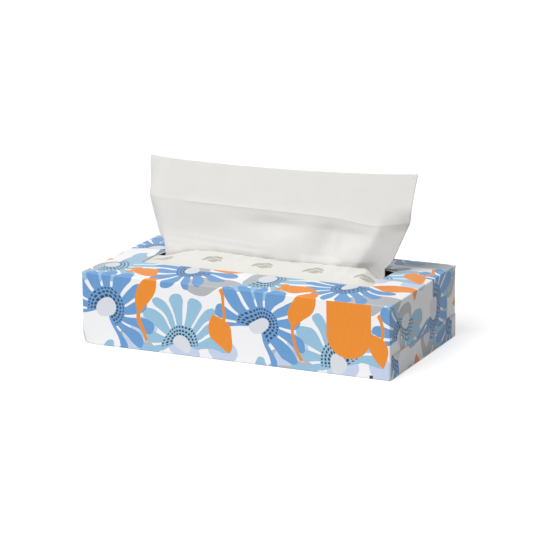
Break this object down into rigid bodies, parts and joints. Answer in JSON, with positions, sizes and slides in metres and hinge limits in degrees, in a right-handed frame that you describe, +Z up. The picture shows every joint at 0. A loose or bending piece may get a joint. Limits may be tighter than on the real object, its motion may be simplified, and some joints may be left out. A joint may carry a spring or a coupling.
{
  "type": "tissue box",
  "caption": "Flat folding-board carton of facial tissues with a film-covered opening in its top and one sheet pulled up through the slit.",
  "frame": {"origin": "middle of the carton's underside, on the surface it stands on", "axes": "+X along the box, +Z up, -Y out of the long front panel"},
  "size_m": [0.23, 0.118, 0.122],
  "materials": {
    "printed_board": "satin",
    "film": "satin",
    "tissue": "matte"
  },
  "bodies": {
    "root": {"carton": "printed_board", "dispensing_film": "film", "pulled_tissue": "tissue", "tissue_stack": "tissue"}
  },
  "joints": []
}
